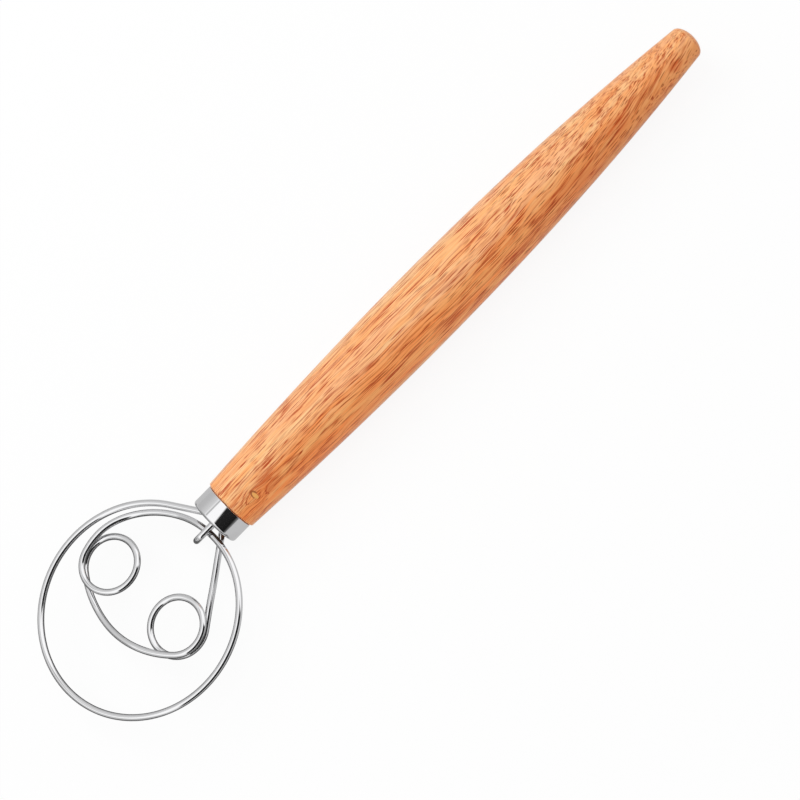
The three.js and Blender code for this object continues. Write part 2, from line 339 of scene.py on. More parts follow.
@dataclass(frozen=True)
class OiledWood(Finish):
    """Orange-tan hardwood: wavering grain, growth layers, fibres, open pores, one pin knot, and painted
    shade on one side.

    Places and lengths are metres in the frame of the model. The grain runs along X, and the first of a
    figure's three lengths runs along it. A pair says where a change starts and where it is complete. Other
    numbers in the sums are shares, or values of noise, which lies about 0.5.
    """

    # Colours of the ground, its lines and the knot.
    pale: Colour = paint(255, 204, 146)
    blush: Colour = paint(255, 192, 138)
    tan: Colour = paint(255, 178, 110)
    # The heart colours are partly heart figure and partly painted shade on the side turned from the light.
    heart_shade_pale: Colour = paint(255, 179, 108)
    heart_shade_tan: Colour = paint(255, 149, 76)
    butt_tan: Colour = paint(230, 154, 86)
    deep: Colour = paint(214, 98, 40)
    line: Colour = paint(184, 62, 4)
    pore: Colour = paint(156, 58, 8)
    # Painted shade in the joint under the ferrule.
    joint_shade: Colour = paint(74, 44, 24)
    knot_heart: Colour = paint(244, 184, 100)
    knot_rim: Colour = paint(150, 78, 34)
    sheen: Colour = paint(255, 250, 238)

    # Directions across the handle: to its deeper side, which is turned from the light and carries painted
    # shade, and out of the face that is seen. The growth layers lean by a share of each.
    side: Triple = (0.0, -0.92718, -0.37461)
    face: Triple = (0.0, -0.37461, 0.92718)
    layer_lean: Pair = (0.42, 0.906)
    axis_across: float = -0.00871

    # Stretches along the handle.
    tenon_end: Pair = (-0.0795, -0.0785)
    lines_thin_out: Pair = (0.04, 0.13)
    pores_crowd: Pair = (-0.01, 0.1)
    heart_shade_softens: Pair = (0.05, 0.11)
    butt_tans: Pair = (0.06, 0.14)
    butt_end: Pair = (0.1665, 0.1705)

    # Stretches across the handle, to its deeper side.
    heart_shade_crisp: Pair = (-0.001, 0.0055)
    heart_shade_soft: Pair = (-0.006, 0.009)
    butt_tan_and_shade_side: Pair = (-0.004, 0.008)
    painted_shade_side: Pair = (0.001, 0.009)
    straight_sides: Pair = (0.004, 0.012)

    # How the grain strays: a cubic bow about its middle, a waver and a ripple.
    bow_middle: float = 0.003
    bow_cube: float = 3.8
    bow_slope: float = 0.02
    waver: Triple = (0.024, 0.02, 0.02)
    waver_depth: float = 0.0024
    ripple: Triple = (0.014, 0.012, 0.012)
    ripple_depth: float = 0.0006

    # Sizes of the figure.
    fibre: Triple = (0.02, 0.0006, 0.0006)
    streak: Triple = (0.06, 0.0028, 0.0028)
    streak_depth: float = 0.008
    blush_patch: Triple = (0.04, 0.005, 0.005)
    layer_depth: float = 0.0026
    layer_wander: Triple = (0.045, 0.006, 0.006)
    layers_strayed: float = 2.4
    line_crowd: Triple = (0.03, 0.006, 0.006)
    long_line: Triple = (0.04, 0.001, 0.001)
    short_line: Triple = (0.016, 0.0006, 0.0006)
    pore_crowd: Triple = (0.02, 0.006, 0.006)
    pore_cell: Triple = (0.008, 0.0005, 0.0005)
    patch_fade: Pair = (0.1, 1.2)
    patches: tuple[Patch, ...] = (
        Patch(-0.0603, 0.0039, 0.008, 0.004),
        Patch(0.1249, 0.0034, 0.007, 0.003),
        Patch(0.1569, 0.0034, 0.004, 0.002),
    )

    # The pin knot: its place, the reach of its parts, and how far the grain swells round it.
    knot: Triple = (-0.06706, -0.00468, 0.02293)
    knot_width: float = 2.0
    knot_heart_reach: Pair = (0.0006, 0.0008)
    knot_rim_reach: Span = ((0.0007, 0.0009), (0.0011, 0.0015))
    knot_rim_side: Pair = (-0.0004, 0.0006)
    knot_rim_slant: float = 0.3
    knot_above: Pair = (-0.004, -0.003)
    knot_grain: Triple = (0.001, 0.001, 0.001)
    knot_waver: float = 0.0005
    swell_reach: Pair = (0.0008, 0.0065)
    swell_sides: Pair = (-0.0005, 0.0005)
    swell_depth: float = 0.0012

    def lay_out(self, graph: Graph) -> None:
        """Writes the wood: colour, satin sheen, and relief of pores and fibres.

        Args:
            graph: Graph of the material.
        """
        place = graph.place()
        run = graph.along(place, X_AXIS)
        across = graph.along(place, self.side) - self.axis_across
        grain = self.grain(graph, place, run, across)
        fibres = graph.noise(grain, self.fibre, 3.0, 0.6)
        lines = self.lines(graph, grain, run, fibres)
        pores = self.pores(graph, grain, run)
        colour = self.ground(graph, grain, run, across, fibres)
        # Tan all round towards the butt, and much more on the side turned from the light, which is painted
        # shade.
        tanned = run.rise(*self.butt_tans) * (0.05 + 0.45 * across.rise(*self.butt_tan_and_shade_side))
        colour = graph.mix(tanned, colour, self.butt_tan)
        colour = self.patched(graph, colour, run, across, fibres)
        colour = graph.mix(lines * 1.1, colour, self.line)
        colour = graph.mix(pores, colour, self.pore)
        colour = self.knotted(graph, colour, place)
        # Darker over the butt's crown: partly end grain, partly painted shade of its rounded edge.
        colour = graph.mix(run.rise(*self.butt_end) * 0.3, colour, self.deep)
        # Painted shade: the tenon under the ferrule is dark, in the joint.
        colour = graph.mix(run.fall(*self.tenon_end) * 0.9, colour, self.joint_shade)
        graph.surface(
            {
                "Base Color": colour,
                "Roughness": 0.44 + 0.2 * pores + 0.12 * fibres,
                "Normal": graph.relief(fibres * 0.25 - pores - lines * 0.4, strength=0.2, depth=0.0002),
                "IOR": 1.45,
                "Specular IOR Level": 0.24,
                "Coat Weight": 0.2 - 0.15 * pores,
                "Coat Roughness": 0.3,
                "Sheen Weight": 0.7,
                "Sheen Roughness": 0.3,
                "Sheen Tint": self.sheen,
            }
        )

    def grain(self, graph: Graph, place: Value, run: Value, across: Value) -> Value:
        """Straightens the grain, which bows towards the ends, wavers, and swells round the knot.

        It strays to the deeper side by the sum of these. Towards both sides of the handle it strays less.

        Args:
            graph: Graph of the material.
            place: Place in the frame of the model.
            run: Place along the handle.
            across: Place across the handle, to its deeper side.

        Returns:
            Place with the grain along X.
        """
        from_middle = run - self.bow_middle
        bow = from_middle * (from_middle * from_middle * self.bow_cube - self.bow_slope)
        waver = graph.noise(place, self.waver) - 0.5
        ripple = graph.noise(place, self.ripple, 1.0) - 0.5
        knot_gap = graph.vector("DISTANCE", place, self.knot, output="Value")
        beside = graph.along(place, self.side) - float(np.dot(self.knot, self.side))
        away = 1 - 2 * beside.rise(*self.swell_sides)
        swell = knot_gap.fall(*self.swell_reach) * away * self.swell_depth
        held = 0.8 * abs(across).rise(*self.straight_sides)
        stray = bow + waver * self.waver_depth + ripple * self.ripple_depth
        shift = stray * (1 - held) + swell
        return graph.vector("ADD", place, graph.vector("SCALE", self.side, shift))

    def ground(self, graph: Graph, grain: Value, run: Value, across: Value, fibres: Value) -> Value:
        """Lays the ground, pale to one side and deeper to the other, with growth layers and fibres.

        The deeper side is turned from the light: its colour is partly heart figure and partly painted shade.
        The change from side to side is crisp at the front and soft towards the butt. A growth layer darkens
        slowly towards its outside and ends at once, and more so on the deeper side.

        Args:
            graph: Graph of the material.
            grain: Place with the grain along X.
            run: Place along the handle.
            across: Place across the handle, to its deeper side.
            fibres: Fine noise along the grain.

        Returns:
            The colour.
        """
        streaks = graph.noise(grain, self.streak, 3.0, 0.6)
        blush = graph.noise(grain, self.blush_patch, 1.0).rise(0.4, 0.6)
        # Painted shade, partly: the heart colours lie on the side turned from the light.
        rear = run.rise(*self.heart_shade_softens)
        edge = across + (streaks - 0.5) * self.streak_depth
        crisp = edge.rise(*self.heart_shade_crisp)
        heart = crisp + rear * (edge.rise(*self.heart_shade_soft) - crisp)
        light = graph.mix(heart, graph.mix(blush, self.pale, self.blush), self.heart_shade_pale)
        dark = graph.mix(heart, self.tan, self.heart_shade_tan)
        colour = graph.mix(streaks.rise(0.34, 0.66), light, dark)
        # Painted shade: deeper still on the side turned from the light, growing towards the butt.
        colour = graph.mix(across.rise(*self.painted_shade_side) * rear * 0.3, colour, self.deep)
        to_side, to_face = self.layer_lean
        depth = graph.along(grain, tuple(to_side * a + to_face * b for a, b in zip(self.side, self.face)))
        wander = graph.noise(grain, self.layer_wander) * self.layers_strayed
        layer = (depth * (1 / self.layer_depth) + wander).fraction()
        late = layer.between((0.35, 0.92), (0.93, 1.0))
        shown = graph.noise(grain, self.line_crowd, 1.0).rise(0.4, 0.62)
        colour = graph.mix(late * (0.1 + 0.22 * heart) * shown, colour, self.deep)
        colour = graph.mix(fibres.rise(0.5, 0.68) * 0.45, colour, self.deep)
        return graph.mix(fibres.fall(0.3, 0.46) * 0.4, colour, light)

    def patched(self, graph: Graph, colour: Value, run: Value, across: Value, fibres: Value) -> Value:
        """Deepens the wood in soft oval patches, mottled along the fibres.

        A patch fades with the sum of the squares of the distances from its middle, in half sizes.

        Args:
            graph: Graph of the material.
            colour: Colour so far.
            run: Place along the handle.
            across: Place across the handle.
            fibres: Fine noise along the grain.

        Returns:
            The colour with the patches.
        """
        for patch in self.patches:
            long_way = (run - patch.along) * (1 / patch.half_length)
            short_way = (across - patch.across) * (1 / patch.half_width)
            share = (long_way * long_way + short_way * short_way).fall(*self.patch_fade)
            colour = graph.mix(share * (0.25 + 0.65 * fibres.rise(0.36, 0.6)), colour, self.deep)
        return colour

    def lines(self, graph: Graph, grain: Value, run: Value, fibres: Value) -> Value:
        """Draws fine dark lines along the grain, which thin out towards the butt.

        Long lines run where stretched noise passes its middle value, and the fibres break them up. Short
        lines are dashes, largest where the long lines are faint.

        Args:
            graph: Graph of the material.
            grain: Place with the grain along X.
            run: Place along the handle.
            fibres: Fine noise along the grain.

        Returns:
            Share of the surface that is line.
        """
        crowd = graph.noise(grain, self.line_crowd)
        ridge = abs(graph.noise(grain, self.long_line, 1.0) - 0.5)
        broken = 0.35 + 0.65 * fibres.rise(0.42, 0.56)
        long_lines = ridge.fall(0.0, 0.075) * (0.3 + 0.7 * crowd.rise(0.32, 0.56)) * broken
        reach = 0.24 + 0.16 * (1 - crowd).rise(0.24, 0.5)
        short_lines = self.dashes(graph, grain, self.short_line, reach)
        return graph.larger(long_lines, short_lines) * (1 - 0.18 * run.rise(*self.lines_thin_out))

    def pores(self, graph: Graph, grain: Value, run: Value) -> Value:
        """Scatters open pores: short dark dashes that crowd towards the butt.

        Args:
            graph: Graph of the material.
            grain: Place with the grain along X.
            run: Place along the handle.

        Returns:
            Share of the surface that is pore.
        """
        crowd = graph.noise(grain, self.pore_crowd)
        rear = run.rise(*self.pores_crowd)
        share = (crowd + 0.2 * rear).rise(0.36, 0.56)
        return self.dashes(graph, grain, self.pore_cell, share * 0.42) * (0.46 + 0.46 * rear)

    def dashes(self, graph: Graph, grain: Value, cell: Triple, reach: Value) -> Value:
        """Gives dashes about the seeds of stretched cells, crisp at their edges and uneven in size.

        Args:
            graph: Graph of the material.
            grain: Place with the grain along X.
            cell: Size of a cell.
            reach: Half the largest dash's size, as a share of the cell.

        Returns:
            Share of the surface that is dash.
        """
        draw = graph.along(graph.cells(grain, cell, "Color"), X_AXIS)
        return (reach * draw.rise(-0.3, 0.8) - graph.cells(grain, cell, "Distance")).rise(0.0, 0.2)

    def knotted(self, graph: Graph, colour: Value, place: Value) -> Value:
        """Sets the pin knot into the colour: a small pale heart with a brown crescent on its pale side.

        The knot is an oval, wider across the handle than along it.

        Args:
            graph: Graph of the material.
            colour: Colour so far.
            place: Place in the frame of the model.

        Returns:
            The colour with the knot.
        """
        offset = graph.vector("SUBTRACT", place, self.knot)
        across = graph.along(offset, self.side)
        run = graph.along(offset, X_AXIS)
        waver = (graph.noise(place, self.knot_grain) - 0.5) * self.knot_waver
        sockets = {"X": across * (1 / self.knot_width) + waver, "Y": run + waver}
        reach = graph.node("ShaderNodeCombineXYZ", None, sockets)
        gap = graph.vector("LENGTH", reach, (0.0, 0.0, 0.0), output="Value")
        above = graph.along(offset, self.face).rise(*self.knot_above)
        outside = (across * -1 - run * self.knot_rim_slant).rise(*self.knot_rim_side)
        rim = gap.between(*self.knot_rim_reach) * above * outside
        heart = gap.fall(*self.knot_heart_reach) * above
        colour = graph.mix(rim * 0.85, colour, self.knot_rim)
        return graph.mix(heart * 0.85, colour, self.knot_heart)


@dataclass(frozen=True)
class BrightSteel(Finish):
    """Polished stainless steel with hair lines left by drawing or spinning.

    The hair lines follow the place in metres, or an attribute of the mesh where one is named.
    """

    tint: Colour = (0.86, 0.86, 0.87, 1.0)
    smudge: Colour = (0.78, 0.78, 0.79, 1.0)
    smudge_size: Triple = (0.012, 0.012, 0.012)
    gloss: float = 0.07
    hair_line: Triple = (1.0, 1.0, 1.0)
    attribute: str = ""

    def lay_out(self, graph: Graph) -> None:
        """Writes the steel: bright metal, faint handling marks, and hair lines in its gloss and relief.

        Args:
            graph: Graph of the material.
        """
        place = graph.place()
        lined = place
        if self.attribute:
            lined = graph.node("ShaderNodeAttribute", {"attribute_name": self.attribute}, None, "Vector")
        hair = graph.noise(lined, self.hair_line, 3.0, 0.6)
        handled = graph.noise(place, self.smudge_size).rise(0.45, 0.75)
        graph.surface(
            {
                "Base Color": graph.mix(handled * 0.5, self.tint, self.smudge),
                "Metallic": 1.0,
                "Roughness": self.gloss + 0.04 * hair + 0.04 * handled,
                "Normal": graph.relief(hair, strength=0.02, depth=0.0001),
            }
        )


@dataclass(frozen=True)
class DrawnSteel(BrightSteel):
    """Bright drawn wire. Its hair lines are in radii of the wire across it, and in millimetres along it."""

    gloss: float = 0.03
    hair_line: Triple = (0.03, 0.03, 60.0)
    attribute: str = WIRE_PLACE


@dataclass(frozen=True)
class CuredResin(Finish):
    """Dark amber epoxy with clouds and small bubbles at its face. Lengths are metres."""

    amber: Colour = paint(112, 78, 44)
    dark: Colour = paint(62, 42, 26)
    speck: Colour = paint(168, 132, 88)
    cloud_size: Triple = (0.004, 0.004, 0.004)
    bubble_cell: Triple = (0.0014, 0.0014, 0.0014)

    def lay_out(self, graph: Graph) -> None:
        """Writes the resin: clouded colour, pale specks, dimpled gloss.

        Args:
            graph: Graph of the material.
        """
        place = graph.place()
        cloud = graph.noise(place, self.cloud_size, 3.0)
        bubble = graph.cells(place, self.bubble_cell, "Distance").fall(0.16, 0.28)
        colour = graph.mix(cloud.rise(0.45, 0.75), self.dark, self.amber)
        graph.surface(
            {
                "Base Color": graph.mix(bubble * 0.6, colour, self.speck),
                "Roughness": 0.24 + 0.2 * cloud,
                "Normal": graph.relief(cloud - bubble, strength=0.4, depth=0.0004),
                "Coat Weight": 0.3,
                "Coat Roughness": 0.12,
            }
        )


@dataclass(frozen=True)
class WhitePaper(Finish):
    """Paper of the floor: white to the eye, with the whisk's shadow, and grey in reflections.

    It is darkest in reflections under the head. Places are metres.
    """

    white: Colour = (0.92, 0.92, 0.92, 1.0)
    mirrored_grey: Colour = (0.56, 0.56, 0.56, 1.0)
    head_grey: Colour = (0.08, 0.08, 0.08, 1.0)
    head_end: Pair = (-0.106, -0.094)
    head_sides: Pair = (0.06, 0.1)
    shadow_share: float = 0.1
    mirrored_share: float = 0.95

    def lay_out(self, graph: Graph) -> None:
        """Writes the paper as a mix of plain paper and its own light.

        Args:
            graph: Graph of the material.
        """
        seen = graph.ray(Ray.CAMERA)
        mirrored = graph.ray(Ray.GLOSSY)
        place = graph.place()
        beside_head = abs(graph.along(place, Y_AXIS))
        # Painted shade in reflections: reflections see the floor nearly black under the head.
        under_head = graph.along(place, X_AXIS).fall(*self.head_end) * beside_head.fall(*self.head_sides)
        glow = graph.mix(mirrored, WHITE, graph.mix(under_head, self.mirrored_grey, self.head_grey))
        paper = graph.node("ShaderNodeBsdfDiffuse", None, {"Color": self.white})
        light = graph.node("ShaderNodeEmission", None, {"Color": glow, "Strength": 1.0})
        share = seen * (1 - self.shadow_share) + mirrored * self.mirrored_share
        shader = graph.node("ShaderNodeMixShader", None, {0: share, 1: paper, 2: light})
        graph.node("ShaderNodeOutputMaterial", None, {"Surface": shader})


@dataclass
class Skin:
    """A closed skin of points and faces.

    Attributes:
        points: Points in millimetres, one row each.
        quads: Corners of the four-sided faces.
        fans: Corners of the three-sided faces at the ends.
        marks: Three numbers for each point that a finish may read.
    """

    points: np.ndarray
    quads: np.ndarray
    fans: np.ndarray
    marks: np.ndarray

    def piece(self, name: str, offset: np.ndarray, crease: float, attribute: str = "") -> bpy.types.Object:
        """Makes the skin an object of the whisk.

        Args:
            name: The object's name.
            offset: What carries its points to the frame of the model, in millimetres.
            crease: Angle in degrees past which an edge stays sharp.
            attribute: Name under which the marks are kept, if any.

        Returns:
            The new object.
        """
        mesh = bpy.data.meshes.new(name)
        points = (self.points + offset) * MM
        mesh.from_pydata(points.tolist(), [], self.quads.tolist() + self.fans.tolist())
        mesh.polygons.foreach_set("use_smooth", np.ones(len(mesh.polygons), bool))
        mesh.set_sharp_from_angle(angle=math.radians(crease))
        if attribute:
            kept = mesh.attributes.new(attribute, "FLOAT_VECTOR", "POINT")
            kept.data.foreach_set("vector", self.marks.astype(np.float32).ravel())
        mesh.update()
        made = bpy.data.objects.new(name, mesh)
        bpy.context.scene.collection.objects.link(made)
        return made


def ring_quads(rows: int, columns: int, closed: bool) -> np.ndarray:
    """Faces of a grid of points whose columns run round and close.

    Args:
        rows: Number of rows.
        columns: Number of points in a row.
        closed: Whether the last row joins the first.

    Returns:
        Four corners for each face, in the order point, next in row, next in both, next in column.
    """
    last = rows if closed else rows - 1
    row, column = np.meshgrid(np.arange(last), np.arange(columns), indexing="ij")
    here = row * columns
    below = (row + 1) % rows * columns
    beside = (column + 1) % columns
    corners = [here + column, here + beside, below + beside, below + column]
    return np.stack(corners, axis=-1).reshape(-1, 4)


def capped(grid: np.ndarray, marks: np.ndarray, first: np.ndarray, last: np.ndarray) -> Skin:
    """Closes both ends of a tube of rows with fans round one middle point each.

    Args:
        grid: Points as rows, columns and coordinates.
        marks: Marks of the same shape.
        first: Middle point of the first end.
        last: Middle point of the last end.

    Returns:
        The closed skin.
    """
    rows, columns, _ = grid.shape
    count = rows * columns
    column = np.arange(columns)
    beside = (column + 1) % columns
    start = np.stack([np.full(columns, count), beside, column], axis=1)
    base = (rows - 1) * columns
    end = np.stack([np.full(columns, count + 1), base + column, base + beside], axis=1)
    points = np.vstack([grid.reshape(-1, 3), first, last])
    kept = np.vstack([marks.reshape(-1, 3), marks[0].mean(0), marks[-1].mean(0)])
    return Skin(points, ring_quads(rows, columns, False), np.vstack([start, end]), kept)


def turned(profile: np.ndarray, sides: int, closed: bool) -> Skin:
    """Turns a profile about the axis: a point (along, radius) sweeps the circle of that radius.

    Args:
        profile: Places along the axis and radii, one row each.
        sides: Number of points round the circle.
        closed: Whether the profile closes on itself. Otherwise both its ends lie on the axis.

    Returns:
        The closed skin, facing out where the profile runs with the solid on its left.
    """
    angle = np.linspace(0, 2 * np.pi, sides, endpoint=False)
    body = profile if closed else profile[1:-1]
    along = np.repeat(body[:, :1], sides, axis=1)
    grid = np.stack([along, body[:, 1:] * np.cos(angle), body[:, 1:] * np.sin(angle)], axis=-1)
    if closed:
        points = grid.reshape(-1, 3)
        return Skin(points, ring_quads(len(body), sides, True), np.empty((0, 3), int), points)
    first = np.array([profile[0, 0], 0.0, 0.0])
    last = np.array([profile[-1, 0], 0.0, 0.0])
    return capped(grid, grid, first, last)


def travelled(path: np.ndarray) -> np.ndarray:
    """Gives the distance along a path at each of its points."""
    return np.concatenate([[0.0], np.cumsum(np.linalg.norm(np.diff(path, axis=0), axis=1))])


def drawn(path: np.ndarray, radius: float, sides: int, reference: np.ndarray) -> Skin:
    """Carries a circle along a path: each point is the path plus the radius times a turning unit vector.

    The circle's second axis is the path's heading crossed with the reference. Its first axis is square to
    that one and to the heading.

    Args:
        path: Points of the middle line.
        radius: Radius of the wire.
        sides: Number of points round it.
        reference: Direction that the path never runs along.

    Returns:
        The closed skin. Its marks are the cosine and sine of the turn, and the distance along the path.
    """
    heading = np.gradient(path, axis=0)
    heading /= np.linalg.norm(heading, axis=1, keepdims=True)
    beside = np.cross(heading, reference)
    beside /= np.linalg.norm(beside, axis=1, keepdims=True)
    above = np.cross(beside, heading)
    turn = np.linspace(0, 2 * np.pi, sides, endpoint=False)
    cosine, sine = np.cos(turn)[:, None], np.sin(turn)[:, None]
    grid = path[:, None] + radius * (above[:, None] * cosine + beside[:, None] * sine)
    shape = (len(path), sides, 1)
    parts = (cosine, sine, travelled(path)[:, None, None])
    marks = np.concatenate([np.broadcast_to(part, shape) for part in parts], axis=-1)
    return capped(grid, marks, path[0], path[-1])


def round_edge(middle: Pair, reach: Pair, angles: Pair, steps: int) -> np.ndarray:
    """Points of a quarter or less of an ellipse in a profile: middle plus reach times cosine and sine.

    Args:
        middle: Place of its middle along the axis, and its radius.
        reach: Half its size along the axis and across it. A minus turns it round.
        angles: Angles of the first and last point, in radians.
        steps: Number of steps.

    Returns:
        Places along the axis and radii.
    """
    angle = np.linspace(*angles, steps + 1)
    return np.stack([middle[0] + reach[0] * np.cos(angle), middle[1] + reach[1] * np.sin(angle)], axis=1)


def even(path: np.ndarray, step: float, least_gap: float = 1e-6) -> np.ndarray:
    """Spaces the points of a path evenly.

    Args:
        path: Points of the path, close together.
        step: Wanted distance between points.
        least_gap: Distance under which two points are one.

    Returns:
        The path at even steps, found by straight interpolation over its travelled length.
    """
    gaps = np.linalg.norm(np.diff(path, axis=0), axis=1)
    path = path[np.concatenate([[True], gaps > least_gap])]
    length = travelled(path)
    wanted = np.linspace(0, length[-1], math.ceil(length[-1] / step) + 1)
    return np.stack([np.interp(wanted, length, path[:, axis]) for axis in range(3)], axis=1)


def polar(centre: np.ndarray, radius: float, angle: float | np.ndarray) -> np.ndarray:
    """Gives the points at a radius and bearing from a centre, in plan."""
    return np.stack([centre[0] + radius * np.cos(angle), centre[1] + radius * np.sin(angle)], axis=-1)


def bearing(start: np.ndarray, end: np.ndarray) -> float:
    """Gives the bearing from one point of the plan to another."""
    return math.atan2(end[1] - start[1], end[0] - start[0])


def angle_after(angle: float, start: float) -> float:
    """Gives the same bearing as angle, within one turn after start."""
    return start + (angle - start) % (2 * math.pi)


@dataclass(frozen=True)
class Climb:
    """A change of height on a half wave, between two shares of a stretch."""

    start: float
    end: float
    first: float = 0.0
    last: float = 1.0

    def heights(self, share: np.ndarray) -> np.ndarray:
        """Gives the heights at shares of the stretch."""
        part = np.clip((share - self.first) / (self.last - self.first), 0, 1)
        return self.start + (self.end - self.start) * (1 - np.cos(np.pi * part)) / 2


# Shares of a stretch of wire at which its points are worked out.
SHARES = np.linspace(0, 1, 600)


def bend(centre: np.ndarray, radius: float, start: float, end: float, climb: Climb) -> np.ndarray:
    """Gives points of an arc in plan that climbs as it goes."""
    plan = polar(centre, radius, start + (end - start) * SHARES)
    return np.column_stack([plan, climb.heights(SHARES)])


def straight(start: np.ndarray, end: np.ndarray, climb: Climb) -> np.ndarray:
    """Gives points of a line in plan that climbs as it goes."""
    plan = start + (end - start) * SHARES[:, None]
    return np.column_stack([plan, climb.heights(SHARES)])


def corner(point: np.ndarray, way_in: float, way_out: float, radius: float, height: float) -> np.ndarray:
    """Rounds a corner of the plan: an arc that touches both ways at equal distances from the corner.

    Args:
        point: The corner.
        way_in: Bearing of the way in.
        way_out: Bearing of the way out.
        radius: Radius of the bend.
        height: Height of the whole bend.

    Returns:
        Points of the bend.
    """
    turn = angle_after(way_out - way_in, -math.pi)
    side = math.copysign(1.0, turn)
    first = polar(point, -radius * math.tan(abs(turn) / 2), way_in)
    centre = polar(first, radius, way_in + side * QUARTER)
    start = way_in - side * QUARTER
    return bend(centre, radius, start, start + turn, Climb(height, height))


@dataclass(frozen=True)
class Fits:
    """Clearances and wire sizes that more than one piece uses."""

    seat_gap: float = 0.3
    wire_clearance: float = 0.45
    wire_diameter: float = 2.6

    @property
    def wire_radius(self) -> float:
        """Half the wire."""
        return self.wire_diameter / 2

    @property
    def layer(self) -> float:
        """Distance between two passes of the wire that cross."""
        return self.wire_diameter + self.wire_clearance


@dataclass
class Ferrule:
    """The drawn steel sleeve, with its front edge turned in."""

    fits: Fits
    diameter: float = 21.0
    length: float = 9.0
    wall: float = 0.8
    edge: float = 1.3
    edge_steps: int = 18
    inner_steps: int = 12
    rear_edge: float = 0.3
    rear_steps: int = 5
    mouth: float = 18.4
    sides: int = 160
    crease: float = 50.0
    finish: Finish = BrightSteel("ferrule_steel", gloss=0.05, hair_line=(0.00022, 0.03, 0.03))

    @property
    def front(self) -> float:
        """Place of the front edge."""
        return -(self.fits.seat_gap + self.length)

    def build(self, offset: np.ndarray) -> bpy.types.Object:
        """Makes the sleeve: outside round, outside, rear lip with both corners eased, inside, inside round.

        Args:
            offset: What carries its points to the frame of the model.

        Returns:
            The new object.
        """
        radius, edge, ease = self.diameter / 2, self.edge, self.rear_edge
        inner = edge - self.wall
        middle = (self.front + edge, radius - edge)
        lip = self.mouth / 2 - middle[1]
        rear = -self.fits.seat_gap - ease
        outside, inside = (rear, radius - ease), (rear, radius - self.wall + ease)
        profile = np.vstack(
            [
                round_edge(middle, (-edge, edge), (math.asin(lip / edge), QUARTER), self.edge_steps),
                round_edge(outside, (ease, ease), (QUARTER, 0.0), self.rear_steps),
                round_edge(inside, (ease, -ease), (0.0, QUARTER), self.rear_steps),
                round_edge(middle, (-inner, inner), (QUARTER, math.asin(lip / inner)), self.inner_steps),
            ]
        )
        piece = turned(profile, self.sides, True).piece("ferrule_sleeve", offset, self.crease)
        return dress(piece, self.finish, "ferrule")


@dataclass
class Handle:
    """The turned barrel, with a tenon for the ferrule and a flared socket for the wire ends."""

    fits: Fits
    ferrule: Ferrule
    socket_radius: float
    socket_end: float
    length: float = 247.6
    belly: float = 28.8
    belly_place: float = 99.7
    front_fullness: float = 1.8
    rear_fullness: float = 2.2
    shoulder_step: float = 0.75
    shoulder_round: float = 0.7
    butt: float = 13.9
    butt_crown: float = 3.3
    butt_flat: float = 5.0
    flare_width: float = 1.5
    flare_depth: float = 3.0
    tenon_steps: int = 6
    shoulder_steps: int = 8
    barrel_places: int = 220
    crown_steps: int = 22
    sides: int = 144
    crease: float = 40.0
    finish: Finish = OiledWood("oiled_wood")

    def barrel(self, along: np.ndarray) -> np.ndarray:
        """Gives the barrel's radius: the belly's, less a power of the share of the way to either end.

        Args:
            along: Places along the axis.

        Returns:
            The radius at each.
        """
        belly, shoulder = self.belly / 2, self.ferrule.diameter / 2 + self.shoulder_step
        before = np.clip((self.belly_place - along) / self.belly_place, 0, 1)
        rear_length = self.length - self.butt_crown - self.belly_place
        after = np.clip((along - self.belly_place) / rear_length, 0, 1)
        fall = (belly - shoulder) * before**self.front_fullness
        return belly - fall - (belly - self.butt / 2) * after**self.rear_fullness

    def build(self, offset: np.ndarray) -> bpy.types.Object:
        """Makes the handle from its profile: socket, flare, tenon, shoulder, barrel, crowned butt.

        Args:
            offset: What carries its points to the frame of the model.

        Returns:
            The new object.
        """
        gap, bore = self.fits.seat_gap, self.socket_radius
        face = self.ferrule.front + self.ferrule.wall + gap
        tenon = self.ferrule.diameter / 2 - self.ferrule.wall - gap
        ease, turn = self.ferrule.edge - self.ferrule.wall - gap, self.shoulder_round
        shoulder = float(self.barrel(np.array(turn))) - turn
        rear = self.length - self.butt_crown
        flat = math.asin(self.butt_flat / self.butt)
        crown = (self.butt_crown / math.cos(flat), self.butt / 2)
        places = np.linspace(turn, rear, self.barrel_places)[1:-1]
        profile = np.vstack(
            [
                [[self.socket_end, 0.0], [self.socket_end, bore]],
                [[face + self.flare_depth, bore], [face, bore + self.flare_width]],
                round_edge((face + ease, tenon - ease), (-ease, ease), (0.0, QUARTER), self.tenon_steps),
                [[0.0, tenon]],
                round_edge((turn, shoulder), (-turn, turn), (0.0, QUARTER), self.shoulder_steps),
                np.column_stack([places, self.barrel(places)]),
                round_edge((rear, 0.0), crown, (QUARTER, flat), self.crown_steps),
                [[self.length, 0.0]],
            ]
        )
        piece = turned(profile, self.sides, False).piece("handle_barrel", offset, self.crease)
        return dress(piece, self.finish, "handle")


